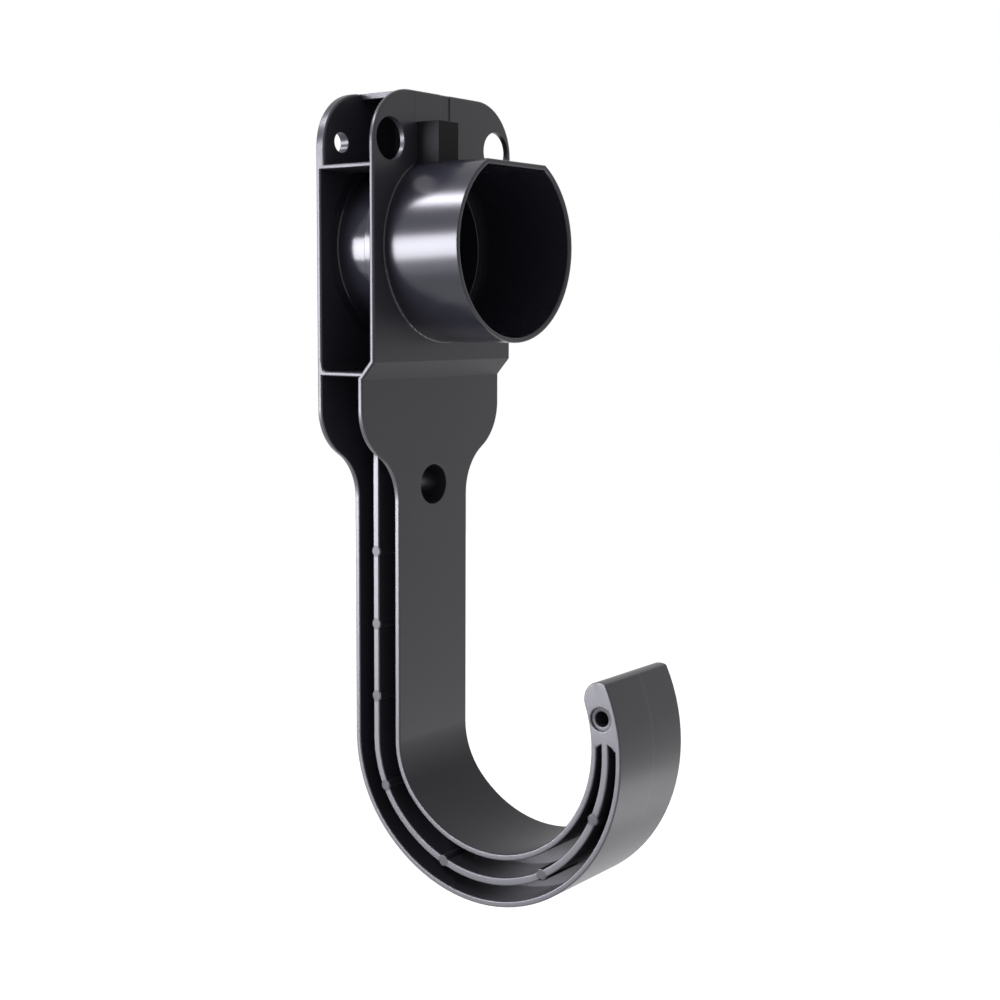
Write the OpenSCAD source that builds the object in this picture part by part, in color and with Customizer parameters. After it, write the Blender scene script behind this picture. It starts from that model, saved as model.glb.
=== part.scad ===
// Wall holder for a charging connector: a D-shaped socket for the connector's nose and a J-hook for
// its cable, moulded in one piece. X runs across the wall, Y into the wall and Z up. The origin lies
// on the wall plane, midway between the two upper screws.

/* [Head] */
// Width of the head's front and back plates
head_w = 72; // [68:1:90]
// Depth of the head, from the wall to its front face
head_depth = 24.8; // [22:0.2:32]
// Height of the head's top above the upper screws
head_top = 16.4; // [13:0.2:20]
// Radius of the head's two top corners
corner_r = 18; // [8:0.5:22]
// Thickness of the front plate, the front flange and the top wall
front_wall = 2; // [1.4:0.1:3]
// Thickness of the back plate and the back flange
back_wall = 2; // [1.4:0.1:3]
// Thickness of the back plate where the upper screws clamp it
pad_t = 3.7; // [3:0.1:6]
// Thickness of the two level ribs between the plates
rib_t = 1.5; // [1:0.1:2.5]
// Drop from the upper screws to the upper rib
upper_rib_drop = 8.5; // [7.5:0.1:9.5]
// Drop from the upper screws to the lower rib
lower_rib_drop = 75; // [72:0.1:77]
// Drop from the upper screws to the front bevel's upper edge
bevel_drop = 71; // [68:0.1:74]
// Height of the front bevel
bevel_h = 5.7; // [4:0.1:9]
// Fillet between the back plate and the lower rib
rib_fillet = 2.2; // [0.5:0.1:4]

/* [Socket] */
// Outer radius of the collar
collar_r = 31; // [28:0.2:33]
// Wall thickness of the collar
collar_wall = 1.8; // [1.2:0.1:2.6]
// Reach of the collar's rim from the wall
collar_reach = 54.7; // [44:0.1:70]
// Drop from the upper screws to the socket's axis
socket_drop = 33.7; // [33:0.1:36]
// Height of the collar's flat above the socket's axis
flat_h = 26.9; // [24:0.1:28]
// Distance from the wall to the ledge that stops the connector's nose
ledge_y = 18.2; // [14:0.1:20]
// Thickness of the ledge
ledge_t = 2; // [1.2:0.1:3]
// Outer radius of the round tube behind the ledge
tube_r = 28; // [22:0.2:29]
// Wall thickness of the round tube
tube_wall = 1.8; // [1.2:0.1:2.6]
// Fillet round the foot of the collar
collar_fillet = 0.6; // [0.3:0.1:3]

/* [Latch block] */
// Distance from the left end of the collar's flat to the block
block_inset = 0.5; // [0.3:0.1:6]
// Width of the block on the collar's flat
block_w = 10; // [7:0.1:14]
// Reach of the block in front of the head
block_reach = 9.5; // [5:0.1:15]
// Height of the block's top above the upper screws
block_top = 6.4; // [2:0.1:9]
// Width of the shallow groove above the socket
groove_w = 4.6; // [2:0.1:8]
// Depth of the shallow groove
groove_d = 0.4; // [0.2:0.1:0.8]

/* [Fixing] */
// Distance between the two upper screws
screw_pitch = 55; // [50:0.5:56]
// Diameter of the screw holes
screw_d = 6.6; // [4:0.1:7.5]
// Diameter of the driver's access holes
access_d = 13.4; // [9:0.1:14]
// Drop from the upper screws to the lower screw
lower_screw_drop = 113; // [105:0.5:125]
// Wall thickness of the tube round the lower access hole
boss_wall = 1.8; // [1.2:0.1:2.6]

/* [Arm] */
// Width of the arm and the hook
arm_w = 36; // [30:0.5:42]
// Depth of the arm, from the wall to its front face
arm_depth = 19.7; // [16:0.1:21]
// Drop from the upper screws to the start of the shoulders
shoulder_drop = 86.3; // [80:0.1:92]
// Radius of both curves of each shoulder
shoulder_r = 18; // [14:0.5:24]
// Distance from the wall to the middle of the middle rib
mid_rib_reach = 9.4; // [8:0.1:10.5]
// Thickness of the middle rib
mid_rib_t = 2.6; // [1.6:0.1:3.4]
// Thickness of the upright web in the middle of the width
web_t = 2; // [1.4:0.1:3]

/* [Hook] */
// Drop from the upper screws to the start of the bend
hook_drop = 198.5; // [190:0.5:230]
// Outer radius of the first bend
bend_r = 45.7; // [42:0.1:54]
// Angle that the first bend turns through
bend_turn = 43; // [30:0.5:55]
// Outer radius of the second bend
sweep_r_out = 55.2; // [54:0.2:62]
// Inner radius of the second bend
sweep_r_in = 40.6; // [38:0.2:43]
// Angle round the second bend at which the channels start to close
channel_angle = 181; // [165:0.5:184]
// Radius of the arch that closes the channels
channel_end_r = 3.9; // [3.6:0.1:5]
// Angle round the second bend to the tip's rounding
tip_angle = 200.3; // [198:0.1:205]
// Radius of the tip's rounding
tip_r = 5.7; // [5.2:0.1:7]
// Angle round the second bend to the hole through the tip
tip_hole_angle = 195; // [192:0.5:197]
// Diameter of the hole through the tip
tip_hole_d = 4.7; // [3:0.1:5]
// Diameter of the recess round the tip's hole
tip_recess_d = 7.2; // [6:0.1:7.4]
// Depth of the recess round the tip's hole
tip_recess_t = 0.6; // [0.2:0.1:1.5]

/* [Round pads] */
// Diameter of the round pads along the middle rib
pad_d = 4; // [3:0.1:5]
// Drop from the upper screws to the first pad on the arm
pad_drop = 135; // [126:0.5:138]
// Distance between the pads on the arm
pad_pitch = 24.8; // [15:0.2:28]
// Number of pads on the arm
pad_count = 3; // [1:1:3]
// Angle of the pad in the first bend
bend_pad_angle = 27; // [10:0.5:40]
// Angles of the pads in the second bend
sweep_pad_angles = [71, 120.5, 156]; // [60:0.5:170]

/* [Hidden] */

$fn = 96;

// How far a cut runs past the face that it opens, and a fillet reaches into its wall
cut = 1;
// Reach of the wedges that trim the bends, well outside the hook
far = 6 * bend_r;
// Angle by which the first bend runs on into the second, so that they join
lap = 0.1;
// Straight steps along a wedge's outer side
wedge_steps = 4;

// Heights of the main features
upper_rib_z = -upper_rib_drop;
lower_rib_z = -lower_rib_drop;
bevel_z = -bevel_drop;
socket_z = -socket_drop;
flat_z = socket_z + flat_h;
lower_screw_z = -lower_screw_drop;
shoulder_z = -shoulder_drop;
hook_z = -hook_drop;

// Shoulders: two equal curves that meet where the outline is halfway from head to arm
shoulder_in = (head_w - arm_w) / 2;
shoulder_turn = acos(1 - shoulder_in / (2 * shoulder_r));
shoulder_mid_z = shoulder_z - shoulder_r * sin(shoulder_turn);
shoulder_end_z = shoulder_z - 2 * shoulder_r * sin(shoulder_turn);

// Front plate: lift of the inner corners that keeps the wall's thickness through the bevel
bevel_tilt = atan((head_depth - arm_depth) / bevel_h);
bevel_lift = front_wall * tan(bevel_tilt / 2);
bevel_end_z = bevel_z - bevel_h;

// Half the width of the collar's flat
flat_half_w = sqrt(collar_r * collar_r - flat_h * flat_h);

// Bends: angles start at the wall's side and turn down and forward
function on_arc(centre, r, angle) = [centre[0] + r * cos(angle), centre[1] - r * sin(angle)];

bend_centre = [-bend_r, hook_z];
bend_r_in = bend_r - arm_depth;
bend_r_mid = bend_r - mid_rib_reach;

// Centre of a second bend that carries on smoothly from the first
function sweep_centre(r_first, r_second) = on_arc(bend_centre, r_first - r_second, bend_turn);

sweep_r_mid = (sweep_r_out + sweep_r_in) / 2;
sweep_out = sweep_centre(bend_r, sweep_r_out);
sweep_in = sweep_centre(bend_r_in, sweep_r_in);
sweep_mid = sweep_centre(bend_r_mid, sweep_r_mid);

channel_end = on_arc(sweep_mid, sweep_r_mid, channel_angle);
tip_centre = on_arc(sweep_in, sweep_r_in + tip_r, tip_angle);
tip_hole = on_arc(sweep_mid, sweep_r_mid, tip_hole_angle);

// A side profile, drawn in Y and Z, given a width across the holder
module across(width) {
    rotate([90, 0, 90]) linear_extrude(width, center = true) children();
}

// A front outline, drawn in X and Z, given a depth from the wall forward
module forward(depth) {
    rotate([90, 0, 0]) linear_extrude(depth) children();
}

// A round bar along Y whose front end lies at the given distance from the wall
module front_bar(r, front, length) {
    translate([0, -front + length, socket_z]) rotate([90, 0, 0]) cylinder(r = r, h = length);
}

module disc(centre, r) {
    translate(centre) circle(r);
}

module wedge(centre, from, to) {
    step = (to - from) / wedge_steps;
    polygon(concat([centre], [for (i = [0:wedge_steps]) on_arc(centre, far, from + i * step)]));
}

// Outline of the front and back plates: head, shoulders and the straight arm
module plate_outline() {
    difference() {
        union() {
            translate([-head_w / 2, shoulder_z]) square([head_w, head_top - corner_r - shoulder_z]);
            translate([-head_w / 2 + corner_r, shoulder_z])
                square([head_w - 2 * corner_r, head_top - shoulder_z]);
            for (side = [-1, 1]) {
                disc([side * (head_w / 2 - corner_r), head_top - corner_r], corner_r);
                disc([side * (head_w / 2 - shoulder_r), shoulder_z], shoulder_r);
            }
            polygon([
                [-head_w / 2, shoulder_z],
                [head_w / 2, shoulder_z],
                [(head_w + arm_w) / 4, shoulder_mid_z],
                [arm_w / 2, shoulder_end_z],
                [-arm_w / 2, shoulder_end_z],
                [-(head_w + arm_w) / 4, shoulder_mid_z]
            ]);
            translate([-arm_w / 2, hook_z]) square([arm_w, shoulder_z - hook_z]);
        }
        for (side = [-1, 1]) disc([side * (arm_w / 2 + shoulder_r), shoulder_end_z], shoulder_r);
    }
}

// Side view of the head and arm, filled
module side_outline() {
    polygon([
        [0, head_top],
        [-head_depth, head_top],
        [-head_depth, bevel_z],
        [-arm_depth, bevel_end_z],
        [-arm_depth, hook_z],
        [0, hook_z]
    ]);
}

// Side view of the front plate, which steps back to the arm through the bevel
module front_profile() {
    polygon([
        [-head_depth, head_top],
        [-head_depth, bevel_z],
        [-arm_depth, bevel_end_z],
        [-arm_depth, hook_z],
        [-arm_depth + front_wall, hook_z],
        [-arm_depth + front_wall, bevel_end_z + bevel_lift],
        [-head_depth + front_wall, bevel_z + bevel_lift],
        [-head_depth + front_wall, head_top]
    ]);
}

// Side view of the back plate, thick above the upper rib, with the fillet on the lower rib
module back_profile() {
    translate([-back_wall, hook_z]) square([back_wall, head_top - hook_z]);
    translate([-pad_t, upper_rib_z]) square([pad_t, head_top - upper_rib_z]);
    difference() {
        translate([-back_wall - rib_fillet, lower_rib_z]) square(rib_fillet + rib_t / 2);
        disc([-back_wall - rib_fillet, lower_rib_z + rib_t / 2 + rib_fillet], rib_fillet);
    }
}

// Side view of the two level ribs
module rib_profile() {
    intersection() {
        side_outline();
        for (z = [upper_rib_z, lower_rib_z])
            translate([-head_depth, z - rib_t / 2]) square([head_depth, rib_t]);
    }
}

// Plates and ribs, open at both sides
module plates() {
    intersection() {
        across(head_w) {
            front_profile();
            back_profile();
            rib_profile();
        }
        forward(head_depth) plate_outline();
    }
    translate([-head_w / 2 + corner_r, -head_depth, head_top - front_wall])
        cube([head_w - 2 * corner_r, head_depth, front_wall]);
}

// Side view of the strip between the outer and inner curves, each moved in by its own amount
module arm_strip(from_out, from_in, top, end_angle) {
    translate([-arm_depth + from_in, hook_z]) square([arm_depth - from_in - from_out, top - hook_z]);
    intersection() {
        difference() {
            disc(bend_centre, bend_r - from_out);
            disc(bend_centre, bend_r_in + from_in);
        }
        wedge(bend_centre, 0, bend_turn + lap);
    }
    intersection() {
        difference() {
            disc(sweep_out, sweep_r_out - from_out);
            disc(sweep_in, sweep_r_in + from_in);
        }
        wedge(sweep_in, bend_turn, end_angle);
    }
}

// Side view of the middle rib, from the lower rib round to the tip
module mid_rib() {
    translate([-mid_rib_reach - mid_rib_t / 2, hook_z]) square([mid_rib_t, lower_rib_z - hook_z]);
    intersection() {
        difference() {
            disc(bend_centre, bend_r_mid + mid_rib_t / 2);
            disc(bend_centre, bend_r_mid - mid_rib_t / 2);
        }
        wedge(bend_centre, 0, bend_turn + lap);
    }
    intersection() {
        difference() {
            disc(sweep_mid, sweep_r_mid + mid_rib_t / 2);
            disc(sweep_mid, sweep_r_mid - mid_rib_t / 2);
        }
        wedge(sweep_mid, bend_turn, tip_angle);
    }
}

// Side view of the arm and hook, filled, with its rounded tip
module arm_outline() {
    arm_strip(0, 0, lower_rib_z, tip_angle);
    intersection() {
        disc(tip_centre, tip_r);
        disc(sweep_out, sweep_r_out);
    }
}

// Side view of the two channels between the flanges and the middle rib
module channels() {
    difference() {
        union() {
            arm_strip(back_wall, front_wall, lower_rib_z, channel_angle);
            intersection() {
                arm_strip(back_wall, front_wall, lower_rib_z, tip_angle);
                disc(channel_end, channel_end_r);
            }
        }
        mid_rib();
    }
}

// Flanges, middle rib and solid tip at the arm's full width, joined by the web
module arm() {
    across(arm_w) difference() {
        arm_outline();
        channels();
    }
    across(web_t) arm_outline();
    across(web_t) side_outline();
}

// Round pads that the mould's ejectors press on
module round_pads() {
    on_arm = [for (i = [0:pad_count - 1]) [-mid_rib_reach, -pad_drop - i * pad_pitch]];
    in_bend = [on_arc(bend_centre, bend_r_mid, bend_pad_angle)];
    in_sweep = [for (angle = sweep_pad_angles) on_arc(sweep_mid, sweep_r_mid, angle)];
    across(arm_w) for (place = concat(on_arm, in_bend, in_sweep)) disc(place, pad_d / 2);
}

// Hollow fillet round the foot of the collar; its sharp edge points forward
module foot_fillet() {
    translate([0, -head_depth, socket_z]) rotate([90, 0, 0]) rotate_extrude() difference() {
        translate([collar_r - cut, 0]) square([collar_fillet + cut, collar_fillet]);
        disc([collar_r + collar_fillet, collar_fillet], collar_fillet);
    }
}

// Everything below the collar's flat, less a wall thickness where one is given
module below_flat(less) {
    intersection() {
        children();
        translate([-head_w, -2 * collar_reach, socket_z - head_w])
            cube([2 * head_w, 2 * collar_reach, head_w + flat_h - less]);
    }
}

// D-shaped collar, ledge and round tube, before they are bored
module socket_body() {
    below_flat(0) {
        front_bar(collar_r, collar_reach, collar_reach - ledge_y + ledge_t);
        foot_fillet();
    }
    front_bar(tube_r, ledge_y, ledge_y);
}

// Room for the connector's nose, and the narrower bore behind the ledge
module socket_bore() {
    below_flat(collar_wall)
        front_bar(collar_r - collar_wall, collar_reach + cut, collar_reach + cut - ledge_y);
    front_bar(tube_r - tube_wall, ledge_y + cut, ledge_y + cut - back_wall);
}

// Block that stands on the left end of the collar's flat
module latch_block() {
    translate([block_inset - flat_half_w, -head_depth - block_reach, flat_z - collar_wall])
        cube([block_w, block_reach + front_wall, block_top - flat_z + collar_wall]);
}

// Round bar along Y at a given place, from one distance off the wall to another
module wall_bar(x, z, d, from, to) {
    translate([x, -from, z]) rotate([90, 0, 0]) cylinder(d = d, h = to - from);
}

// Tube that leads the lower screw and its driver through the arm, before it is bored
module screw_boss() {
    wall_bar(0, lower_screw_z, access_d + 2 * boss_wall, back_wall / 2, arm_depth - front_wall / 2);
}

module screw_holes() {
    for (x = [-screw_pitch / 2, screw_pitch / 2]) {
        wall_bar(x, 0, screw_d, -cut, pad_t + cut);
        wall_bar(x, 0, access_d, head_depth - front_wall - cut, head_depth + cut);
    }
    wall_bar(0, lower_screw_z, screw_d, -cut, back_wall + cut);
    wall_bar(0, lower_screw_z, access_d, back_wall, arm_depth + cut);
}

// Shallow groove in the front plate above the socket
module top_groove() {
    translate([-groove_w / 2, -head_depth - cut, block_top])
        cube([groove_w, groove_d + cut, head_top - block_top + cut]);
}

// Hole through the tip, with a shallow recess round each end
module tip_bore() {
    across(arm_w + 2 * cut) disc(tip_hole, tip_hole_d / 2);
    for (side = [-1, 1])
        translate([side * (arm_w + cut - tip_recess_t) / 2, 0, 0])
            across(tip_recess_t + cut) disc(tip_hole, tip_recess_d / 2);
}

module holder() {
    color("#232326") difference() {
        union() {
            plates();
            arm();
            round_pads();
            socket_body();
            latch_block();
            screw_boss();
        }
        socket_bore();
        screw_holes();
        top_groove();
        tip_bore();
    }
}

holder();
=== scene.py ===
"""Looks of the wall holder for a charging connector: one satin black moulding over its solid.

The frame is the solid's own, in metres: X across the wall, Y into the wall, Z up. The places of
the moulding's features are given in millimetres.
"""
import math

import bmesh
import bpy
from mathutils import Matrix, Vector


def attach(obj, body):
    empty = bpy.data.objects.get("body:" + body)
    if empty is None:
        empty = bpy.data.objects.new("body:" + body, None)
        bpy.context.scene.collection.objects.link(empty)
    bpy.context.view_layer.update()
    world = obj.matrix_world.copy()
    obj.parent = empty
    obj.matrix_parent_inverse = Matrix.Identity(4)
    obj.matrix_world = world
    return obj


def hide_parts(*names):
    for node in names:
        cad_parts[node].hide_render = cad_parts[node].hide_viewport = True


MM = 0.001
X_AXIS, Y_AXIS, Z_AXIS = 0, 1, 2

# Colour sockets of a Mix node, which share their names with its other sockets
MIX_FIRST, MIX_SECOND, MIX_RESULT = 6, 7, 2

# Where the features of the moulding lie, in millimetres
HEAD_HALF = 36.0
HEAD_TOP_Z = 16.4
CORNER_R = 18.0
PLATE_BACK_Y = -22.7
BACK_SKIN_Y = -0.5
SOCKET_Z = -33.7
COLLAR_R = 31.0
COLLAR_FOOT_Y = -24.8
COLLAR_RIM_Y = -54.7
FLAT_Z = -6.8
FOOT_FILLET = 0.6
TUBE_R = 28.0
TUBE_FRONT_Y = -22.8
TUBE_FOOT_Y = -2.0
BLOCK_LEFT_X = -14.9
BLOCK_RIGHT_X = -4.9
BLOCK_TOP_Z = 6.4
SHOULDER_Z = -70.0
BEVEL_TOP_Z = -71.0
BEVEL_FOOT_Z = -76.7
BEVEL_BACK_Y = -19.0
LOWER_RIB_Z = -75.0
LOWER_HOLE_Z = -113.0
DRIVER_HOLE_R = 6.7
ARM_Z = -100.0
ARM_HALF = 18.0
WEB_HALF = 1.4
HOOK_FRONT_Y = -60.0
PAD_R = 1.8
PAD_PLACES = (
    (-9.4, -135.0),
    (-9.4, -159.8),
    (-9.4, -184.6),
    (-13.4, -215.0),
    (-38.6, -235.9),
    (-78.5, -231.9),
    (-97.9, -210.1),
)

# How close counts as on a feature, and what is far from all of them, in millimetres
NEAR = 0.05
INTO_RIM = 0.5
OUTLINE_BAND = 0.2
FAR = 1000.0

# How nearly a face is square to an axis, and an edge runs along one
LEVEL = 0.999999
ALONG = 0.9

# Rounding that the mould leaves on edges, largest at the mouth of the socket
MOUTH_R = 0.95 * MM
SOFT_R = 0.75 * MM
RIM_R = 0.5 * MM
TUBE_FOOT_R = 0.6 * MM
FLANGE_R = 0.5 * MM
RIB_R = 0.45 * MM
CRISP_R = 0.3 * MM
EDGE_STEPS = 4
EDGE_ANGLE = math.radians(33)
FLAT_ANGLE = math.radians(0.2)
WELD = 0.002 * MM
SLIVER = 0.01 * MM
FLAT_FACE_WEIGHT = 100

# Colours of the finish
SATIN_DARK = (0.0123, 0.0120, 0.0168, 1)
SATIN_PALE = (0.0163, 0.0159, 0.0213, 1)
POLISHED_BLACK = (0.0115, 0.0113, 0.0165, 1)
SEAM_GREY = (0.0205, 0.0200, 0.0265, 1)
# Dull black: a real dull finish on the pads, and painted shade on the block, inside the bend, on
# the sloped step and in the lower bore
DULL_AND_SHADE_BLACK = (0.006, 0.006, 0.007, 1)

# Gloss of the finish: roughness, what adds to it or takes from it, and the coat
SATIN_ROUGH = 0.29
POLISHED_ROUGH = 0.2
DULL_ROUGH = 0.62
SATIN_CLOUD = 0.05
SATIN_MOTTLE = 0.05
POLISHED_CLOUD = 0.04
TUBE_SMOOTHER = 0.07
WEB_SMOOTHER = 0.1
SIDE_ROUGHER = 0.07
SIDE_COAT = 0.75
COAT_ROUGH = 0.38
PLASTIC_IOR = 1.42
DULL_IOR = 1.2

# Share of the dull, darker black on the surfaces that have some of it: a real dull finish on the
# pads, painted shade inside the bend, on the sloped step and in the lower bore, and a thin darker
# line on the plate beside the block
BEND_PAINTED_SHADE = 0.55
DARKER_LINE_SHARE = 0.3
PAD_DULL = 0.45
BEVEL_PAINTED_SHADE = 0.35
BORE_PAINTED_SHADE = 0.8

# Where one finish fades into the next, in millimetres
BORDER = 0.1
RIB_BORDER = 1.0
POLISH_R = (COLLAR_R + 0.2, COLLAR_R + 0.9)
POLISH_BACK_Y = (TUBE_FOOT_Y + 0.1, TUBE_FOOT_Y + 0.5)
SIDE_X = (ARM_HALF - 0.6, ARM_HALF - 0.3)
SIDE_TOP_Z = (ARM_Z, ARM_Z + 25.0)
BEND_TOP_Z = (-205.0, -175.0)
SEAM_X = (0.6, 1.5)
SEAM_BORDER = 0.6
DARKER_LINE_X = (-16.1, -15.8)
DARKER_LINE_BORDER = 0.15
PAD_EDGE = (PAD_R, PAD_R + 0.3)

# How far a face turns towards an axis, from not counting to counting in full
SIDE_TURN = (0.3, 0.7)
WEB_TURN = (0.6, 0.8)
EDGE_TURN = (0.1, 0.3)
UP_TURN = (0.1, 0.6)
NOT_DOWN_TURN = (-0.5, -0.3)
NOT_FRONT_TURN = (-0.4, -0.1)

# Patterns in the plastic: scale per millimetre and detail
CLOUD = (0.035, 3.0)
MOTTLE = (0.4, 4.0)
GRAIN = (5.0, 2.0)
GRAIN_STRENGTH = 0.08
GRAIN_DEPTH = 0.05 * MM

# Camera at the photograph's viewing angle
CAMERA_AT = Vector((-413.94, -361.5, -54.57)) * MM
CAMERA_YAW = math.radians(52.859)
CAMERA_PITCH = math.radians(-5.706)
CAMERA_ROLL = math.radians(0.232)
CAMERA_LENS = 57.096
CAMERA_SENSOR = 36.0
CAMERA_SHIFT_Y = -0.03

# Floor, well below the hook
FLOOR_Z = -1.2
FLOOR_HALF = 6.0
FLOOR_PAINT = (0.86, 0.86, 0.86, 1)
FLOOR_GLOW = 0.25

# Strength of the surroundings, and soft panels: name, place, width and height, power, colour
SURROUNDINGS = 1.0
WHITE = (1.0, 1.0, 1.0)
COOL = (0.91, 0.905, 1.0)
PANELS = (
    ("left_back_band", (-1.94, 1.53, -0.05), (1.8, 0.9), 27.0, COOL),
    ("left_back_low", (-1.94, 1.53, -0.82), (1.8, 0.64), 1.2, COOL),
    ("left_back_high", (-0.5, 0.40, 0.56), (0.6, 0.13), 2.0, COOL),
    ("right_low", (0.20, -0.30, -0.38), (0.3, 0.13), 0.088, WHITE),
)
PANEL_SPREAD = math.radians(80)
PANEL_AIM = Vector((0, -0.04, -0.1))


def deselect_all():
    if bpy.context.object and bpy.context.object.mode != "OBJECT":
        bpy.ops.object.mode_set(mode="OBJECT")
    bpy.ops.object.select_all(action="DESELECT")


def make_active(piece):
    deselect_all()
    piece.select_set(True)
    bpy.context.view_layer.objects.active = piece


class Value:
    """A socket of a material's graph; arithmetic on it adds Math nodes."""

    def __init__(self, graph, socket):
        self.graph = graph
        self.socket = socket

    def maths(self, operation, *others):
        inputs = dict(enumerate((self, *others)))
        return self.graph.node("ShaderNodeMath", {"operation": operation}, inputs)

    def __add__(self, other):
        return self.maths("ADD", other)

    __radd__ = __add__

    def __sub__(self, other):
        return self.maths("SUBTRACT", other)

    def __rsub__(self, other):
        return self.graph.node("ShaderNodeMath", {"operation": "SUBTRACT"}, {0: other, 1: self})

    def __mul__(self, other):
        return self.maths("MULTIPLY", other)

    __rmul__ = __mul__

    def __abs__(self):
        return self.maths("ABSOLUTE")

    def __lt__(self, other):
        return self.maths("LESS_THAN", other)

    def __gt__(self, other):
        return self.maths("GREATER_THAN", other)

    def least(self, other):
        return self.maths("MINIMUM", other)

    def most(self, other):
        return self.maths("MAXIMUM", other)

    def hypot(self, other):
        """Distance from the point where both values are 0."""
        return (self * self + other * other).maths("SQRT")

    def ramp(self, low, high):
        """0 below low, 1 above high, smooth between."""
        settings = {"interpolation_type": "SMOOTHSTEP"}
        inputs = {0: self, 1: low, 2: high, 3: 0.0, 4: 1.0}
        return self.graph.node("ShaderNodeMapRange", settings, inputs)

    def between(self, low, high, soft):
        """1 from low to high, falling to 0 over a soft border outside."""
        return self.ramp(low - soft, low) * (1 - self.ramp(high, high + soft))


class Graph:
    """A material's node tree."""

    def __init__(self, name):
        self.material = bpy.data.materials.new(name)
        self.material.use_nodes = True
        self.tree = self.material.node_tree
        self.tree.nodes.clear()

    def node(self, kind, settings=None, inputs=None, output=0):
        """Adds a node with its settings, then the values or links of its sockets."""
        made = self.tree.nodes.new(kind)
        for key, value in (settings or {}).items():
            setattr(made, key, value)
        for key, value in (inputs or {}).items():
            if isinstance(value, Value):
                self.tree.links.new(value.socket, made.inputs[key])
            else:
                made.inputs[key].default_value = value
        return Value(self, made.outputs[output])

    def parts(self, vector):
        """The three values of a vector."""
        split = self.node("ShaderNodeSeparateXYZ", None, {0: vector})
        return [Value(self, part) for part in split.socket.node.outputs]

    def place(self):
        """Object coordinates in millimetres."""
        coords = self.node("ShaderNodeTexCoord", output="Object")
        inputs = {0: coords, "Scale": 1 / MM}
        return self.node("ShaderNodeVectorMath", {"operation": "SCALE"}, inputs)

    def facing(self):
        """Direction in which the surface faces, in the object's own axes."""
        return self.node("ShaderNodeTexCoord", output="Normal")

    def noise(self, vector, scale, detail):
        inputs = {"Vector": vector, "Scale": scale, "Detail": detail}
        return self.node("ShaderNodeTexNoise", None, inputs, "Fac")

    def blend(self, factor, first, second):
        """Colour mix from first to second."""
        inputs = {0: factor, MIX_FIRST: first, MIX_SECOND: second}
        return self.node("ShaderNodeMix", {"data_type": "RGBA"}, inputs, MIX_RESULT)

    def finish(self, shader):
        """The material, with the shader on its surface."""
        surface = self.tree.nodes.new("ShaderNodeOutputMaterial")
        self.tree.links.new(shader.socket, surface.inputs["Surface"])
        return self.material


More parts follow.
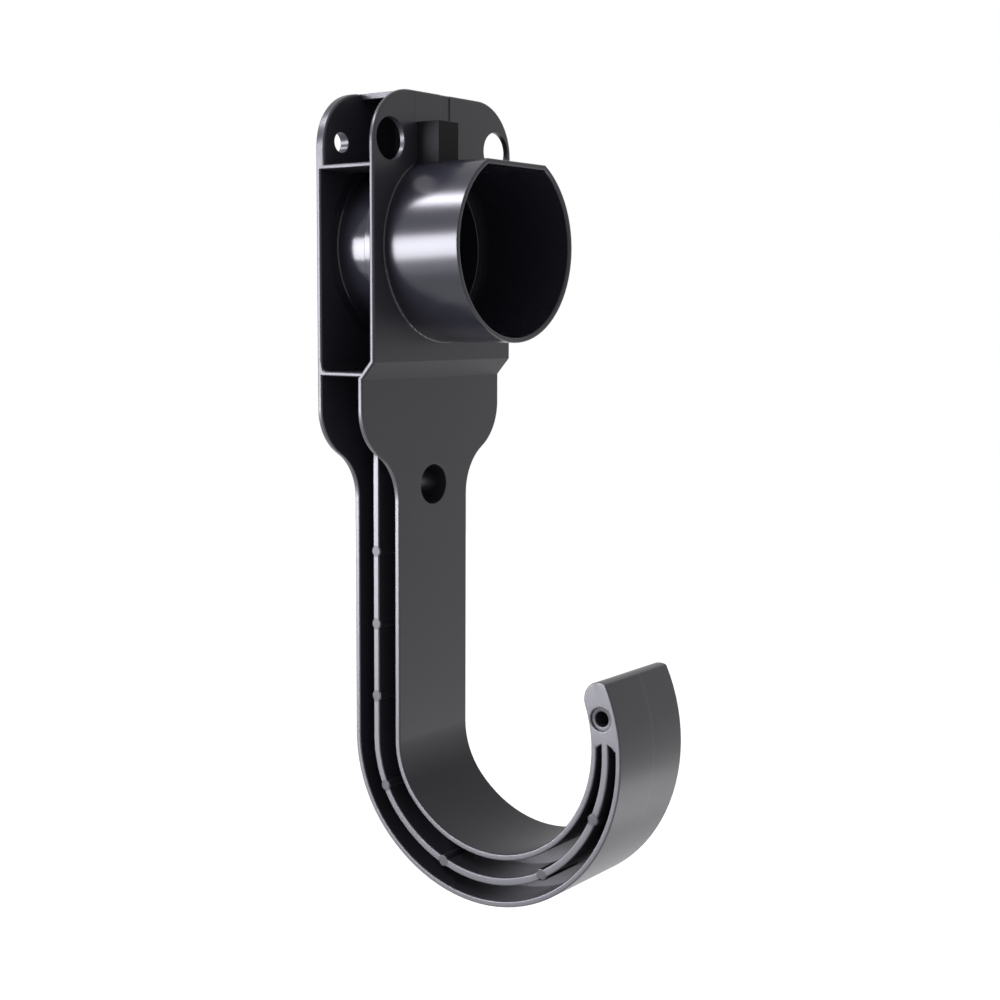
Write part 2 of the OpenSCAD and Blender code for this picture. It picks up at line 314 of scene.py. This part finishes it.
def black_moulding():
    """Black plastic: satin on the plates and arm, polished on the collar and tube."""
    g = Graph("black_moulding")
    where = g.place()
    x, y, z = g.parts(where)
    facing_x, facing_y, facing_z = g.parts(g.facing())
    across = abs(x)
    sideways = abs(facing_x)

    # Collar and bore, and the tube between the plates
    near_socket = 1 - x.hypot(z - SOCKET_Z).ramp(*POLISH_R)
    polished = near_socket * (1 - y.ramp(*POLISH_BACK_Y))
    on_tube = near_socket * y.between(TUBE_FRONT_Y, TUBE_FOOT_Y - NEAR, BORDER)

    # Sides of the arm and hook, and the web between their channels
    arm_side = sideways.ramp(*SIDE_TURN) * across.ramp(*SIDE_X) * (1 - z.ramp(*SIDE_TOP_Z))
    below_rib = 1 - z.ramp(LOWER_RIB_Z - RIB_BORDER, LOWER_RIB_Z)
    on_web = (across < WEB_HALF) * sideways.ramp(*WEB_TURN) * below_rib

    # Seam down the outside of the hook
    faces_front = (1 - facing_y.ramp(*NOT_FRONT_TURN)) * (1 - sideways.ramp(*EDGE_TURN))
    seam = x.between(*SEAM_X, SEAM_BORDER) * faces_front * (y < HOOK_FRONT_Y)

    # Block on the collar's flat, and a thin darker line on the plate beside it
    collar_foot = COLLAR_FOOT_Y - NEAR
    before_head = 1 - y.ramp(collar_foot - BORDER, collar_foot)
    block_width = x.between(BLOCK_LEFT_X, BLOCK_RIGHT_X, BORDER)
    # Painted shade: the block gets the dull, darker black in full, standing in for the shade it
    # sits in
    on_block = block_width * z.between(FLAT_Z, BLOCK_TOP_Z, BORDER) * before_head
    over_block = z.ramp(BLOCK_TOP_Z - RIB_BORDER, BLOCK_TOP_Z)
    darker_line = x.between(*DARKER_LINE_X, DARKER_LINE_BORDER) * over_block * (y < PLATE_BACK_Y)

    # Inside of the bend, pads, sloped step under the head, and the lower driver's hole
    # Painted shade: the upward-facing inside of the bend is darkened with the dull black
    on_bend = facing_z.ramp(*UP_TURN) * (1 - z.ramp(*BEND_TOP_Z))
    pad_gap = FAR
    for pad_y, pad_z in PAD_PLACES:
        pad_gap = (y - pad_y).hypot(z - pad_z).least(pad_gap)
    on_pad = arm_side * (1 - pad_gap.ramp(*PAD_EDGE))
    # Painted shade: the downward-facing sloped step under the head is darkened with the dull black
    faces_down = 1 - facing_z.ramp(*NOT_DOWN_TURN)
    on_bevel = z.between(BEVEL_FOOT_Z, BEVEL_TOP_Z, BORDER) * faces_down * (y < BEVEL_BACK_Y)
    # Painted shade: the inside of the lower driver's hole is darkened with the dull black to hide
    # its reflections
    hole_edge = DRIVER_HOLE_R + NEAR
    off_hole = x.hypot(z - LOWER_HOLE_Z).ramp(hole_edge, hole_edge + BORDER)
    in_bore = (1 - off_hole) * (y < BACK_SKIN_Y)

    # Dull, darker black mixed in: painted shade on the block, inside the bend, on the sloped step
    # and in the lower bore, a real dull finish on the pads, and a thin darker line beside the block
    dull_and_painted_shade = on_block + BEND_PAINTED_SHADE * on_bend + DARKER_LINE_SHARE * darker_line
    dull_and_painted_shade = dull_and_painted_shade + PAD_DULL * on_pad + BEVEL_PAINTED_SHADE * on_bevel + BORE_PAINTED_SHADE * in_bore

    cloud = g.noise(where, *CLOUD)
    mottle = g.noise(where, *MOTTLE)
    grain = g.noise(where, *GRAIN)

    satin_rough = SATIN_ROUGH + SATIN_CLOUD * cloud + SATIN_MOTTLE * mottle
    polished_rough = POLISHED_ROUGH + POLISHED_CLOUD * cloud
    rough = satin_rough + (polished_rough - satin_rough) * polished
    rough = rough - TUBE_SMOOTHER * on_tube - WEB_SMOOTHER * on_web + SIDE_ROUGHER * arm_side

    colour = g.blend(cloud, SATIN_DARK, SATIN_PALE)
    colour = g.blend(polished, colour, POLISHED_BLACK)
    colour = g.blend(seam, colour, SEAM_GREY)

    bump = g.node(
        "ShaderNodeBump",
        None,
        {"Strength": GRAIN_STRENGTH, "Distance": GRAIN_DEPTH, "Height": grain},
    )
    plastic = g.node(
        "ShaderNodeBsdfPrincipled",
        None,
        {
            "Base Color": colour,
            "Roughness": rough,
            "IOR": PLASTIC_IOR,
            "Coat Weight": SIDE_COAT * (arm_side + on_web).least(1.0),
            "Coat Roughness": COAT_ROUGH,
            "Normal": bump,
        },
    )
    # Dull, darker black plastic: the painted shade, and the real dull finish of the pads
    dull_and_shaded_plastic = g.node(
        "ShaderNodeBsdfPrincipled",
        None,
        {"Base Color": DULL_AND_SHADE_BLACK, "Roughness": DULL_ROUGH, "IOR": DULL_IOR, "Normal": bump},
    )
    shares = {0: dull_and_painted_shade.least(1.0), 1: plastic, 2: dull_and_shaded_plastic}
    return g.finish(g.node("ShaderNodeMixShader", None, shares))


def pale_floor():
    """White floor that stays white to the camera and still takes the shadow."""
    g = Graph("pale_floor")
    rays = g.node("ShaderNodeLightPath").socket.node.outputs
    seen = Value(g, rays["Is Camera Ray"])
    for kind in ("Is Glossy Ray", "Is Transmission Ray"):
        seen = seen.most(Value(g, rays[kind]))
    paint = g.node("ShaderNodeBsdfDiffuse", None, {"Color": FLOOR_PAINT})
    glow = g.node("ShaderNodeEmission", None, {"Color": (*WHITE, 1), "Strength": seen * FLOOR_GLOW})
    return g.finish(g.node("ShaderNodeAddShader", None, {0: paint, 1: glow}))


def select_square_faces(mesh, axes):
    """Selects the flat faces square to any of the given axes."""
    shape = bmesh.from_edit_mesh(mesh)
    for face in shape.faces:
        face.select_set(max(abs(face.normal[axis]) for axis in axes) > LEVEL)
    bmesh.update_edit_mesh(mesh)


def middle(edge):
    return (edge.verts[0].co + edge.verts[1].co) / 2


def on_foot_fillet(edge):
    """True on the fillet round the collar's foot, which is rounded already."""
    point = middle(edge) / MM
    from_axis = math.hypot(point.x, point.z - SOCKET_Z)
    before_head = COLLAR_FOOT_Y - point.y
    beside_collar = COLLAR_R - NEAR < from_axis < COLLAR_R + FOOT_FILLET + 2 * NEAR
    return beside_collar and -NEAR < before_head < FOOT_FILLET + NEAR


def on_tube_foot(edge):
    """True on the inner edge between the tube and the back plate."""
    return all(
        abs(vert.co.y / MM - TUBE_FOOT_Y) < NEAR
        and abs(math.hypot(vert.co.x, vert.co.z - SOCKET_Z * MM) / MM - TUBE_R) < NEAR
        for vert in edge.verts
    )


def rounding_of(edge):
    """Radius of the rounding on an outer edge, by the edge's place and run."""
    point = middle(edge)
    run = (edge.verts[1].co - edge.verts[0].co).normalized()
    side = abs(point.x) / MM
    height = point.z / MM
    depth = point.y / MM
    if abs(depth - COLLAR_RIM_Y) < NEAR and height > SHOULDER_Z:
        from_axis = math.hypot(side, height - SOCKET_Z)
        inside = from_axis < COLLAR_R - INTO_RIM and height < FLAT_Z - INTO_RIM
        return MOUTH_R if inside else RIM_R
    if height > HEAD_TOP_Z - CORNER_R:
        past = max(side - (HEAD_HALF - CORNER_R), 0.0)
        from_corner = math.hypot(past, height - HEAD_TOP_Z + CORNER_R)
        on_outline = from_corner > CORNER_R - OUTLINE_BAND
    else:
        half = HEAD_HALF if height > SHOULDER_Z else ARM_HALF
        on_outline = side > half - OUTLINE_BAND
    if not on_outline:
        return CRISP_R
    if abs(run.y) > ALONG:
        return RIB_R
    down = min(max((SHOULDER_Z - height) / (SHOULDER_Z - ARM_Z), 0.0), 1.0)
    return SOFT_R + (FLANGE_R - SOFT_R) * down


def weigh_edges(mesh):
    """Gives the tube's foot and the edges that stick out their share of the largest rounding."""
    shape = bmesh.new()
    shape.from_mesh(mesh)
    weight = shape.edges.layers.float.new("bevel_weight_edge")
    for edge in shape.edges:
        sticks_out = edge.is_convex and edge.calc_face_angle(0) > EDGE_ANGLE
        if sticks_out and not on_foot_fillet(edge):
            edge[weight] = rounding_of(edge) / MOUTH_R
        elif on_tube_foot(edge):
            edge[weight] = TUBE_FOOT_R / MOUTH_R
    shape.to_mesh(mesh)
    shape.free()


def merged_copy(node, name):
    """Copy of the solid's mesh with its triangles joined and its level faces made whole."""
    copy = bpy.data.objects.new(name, node.data.copy())
    bpy.context.collection.objects.link(copy)
    copy.data.materials.clear()
    make_active(copy)
    bpy.ops.object.mode_set(mode="EDIT")
    bpy.ops.mesh.select_mode(type="FACE")
    bpy.ops.mesh.select_all(action="SELECT")
    bpy.ops.mesh.remove_doubles(threshold=WELD)
    bpy.ops.mesh.dissolve_degenerate(threshold=SLIVER)
    bpy.ops.mesh.customdata_custom_splitnormals_clear()
    select_square_faces(copy.data, (Y_AXIS, Z_AXIS))
    bpy.ops.mesh.dissolve_limited(angle_limit=FLAT_ANGLE)
    select_square_faces(copy.data, (X_AXIS,))
    bpy.ops.mesh.beautify_fill(angle_limit=FLAT_ANGLE)
    bpy.ops.object.mode_set(mode="OBJECT")
    return copy


def rounded_copy(node, name):
    """Merged copy of the solid's mesh with its outer edges rounded."""
    copy = merged_copy(node, name)
    weigh_edges(copy.data)
    rounding = copy.modifiers.new("edge_rounding", "BEVEL")
    rounding.limit_method = "WEIGHT"
    rounding.width = MOUTH_R
    rounding.segments = EDGE_STEPS
    rounding.use_clamp_overlap = False
    rounding.miter_outer = "MITER_SHARP"
    bpy.ops.object.modifier_apply(modifier=rounding.name)
    bpy.ops.object.mode_set(mode="EDIT")
    bpy.ops.mesh.select_all(action="SELECT")
    bpy.ops.mesh.dissolve_degenerate(threshold=WELD)
    bpy.ops.object.mode_set(mode="OBJECT")
    bpy.ops.object.shade_smooth_by_angle(angle=EDGE_ANGLE)
    flatten = copy.modifiers.new("flat_faces", "WEIGHTED_NORMAL")
    flatten.keep_sharp = True
    flatten.weight = FLAT_FACE_WEIGHT
    bpy.ops.object.modifier_apply(modifier=flatten.name)
    return copy


def add_floor():
    deselect_all()
    bpy.ops.mesh.primitive_plane_add(size=2 * FLOOR_HALF, location=(0, 0, FLOOR_Z))
    floor = bpy.context.object
    floor.name = "floor"
    floor.data.materials.append(pale_floor())


def add_panel(name, at, size, power, colour):
    """Soft rectangular lamp at a place, turned to the middle of the holder."""
    lamp = bpy.data.lights.new(name, "AREA")
    lamp.shape = "RECTANGLE"
    lamp.size, lamp.size_y = size
    lamp.energy = power
    lamp.color = colour
    lamp.spread = PANEL_SPREAD
    panel = bpy.data.objects.new(name, lamp)
    bpy.context.collection.objects.link(panel)
    away = Vector(at) - PANEL_AIM
    panel.location = at
    panel.rotation_euler = away.to_track_quat("Z", "Y").to_euler()
    panel.visible_camera = False


def add_lights():
    """Plain white surroundings with soft panels."""
    world = bpy.data.worlds.new("studio")
    bpy.context.scene.world = world
    world.use_nodes = True
    surroundings = world.node_tree.nodes["Background"]
    surroundings.inputs["Color"].default_value = (*WHITE, 1)
    surroundings.inputs["Strength"].default_value = SURROUNDINGS
    for panel in PANELS:
        add_panel(*panel)


def add_camera():
    lens = bpy.data.cameras.new("photo_view")
    lens.sensor_width = CAMERA_SENSOR
    lens.lens = CAMERA_LENS
    lens.shift_y = CAMERA_SHIFT_Y
    camera = bpy.data.objects.new("photo_view", lens)
    bpy.context.collection.objects.link(camera)
    turn = Matrix.Rotation(-CAMERA_YAW, 4, "Z")
    turn = turn @ Matrix.Rotation(math.pi / 2 + CAMERA_PITCH, 4, "X")
    turn = turn @ Matrix.Rotation(CAMERA_ROLL, 4, "Z")
    camera.matrix_world = Matrix.Translation(CAMERA_AT) @ turn
    bpy.context.scene.camera = camera


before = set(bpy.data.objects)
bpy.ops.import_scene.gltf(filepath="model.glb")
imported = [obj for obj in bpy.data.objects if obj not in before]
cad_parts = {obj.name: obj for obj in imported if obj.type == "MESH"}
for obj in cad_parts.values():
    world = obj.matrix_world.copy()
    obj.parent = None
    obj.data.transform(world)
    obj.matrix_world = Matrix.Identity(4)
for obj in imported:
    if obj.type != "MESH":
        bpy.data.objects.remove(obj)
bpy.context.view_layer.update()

bpy.context.scene.view_settings.view_transform = "Standard"

holder_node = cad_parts["holder"]
holder = rounded_copy(holder_node, "holder_moulding")
holder.data.materials.append(black_moulding())
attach(holder, "root")
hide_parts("holder")

add_floor()
add_lights()
add_camera()
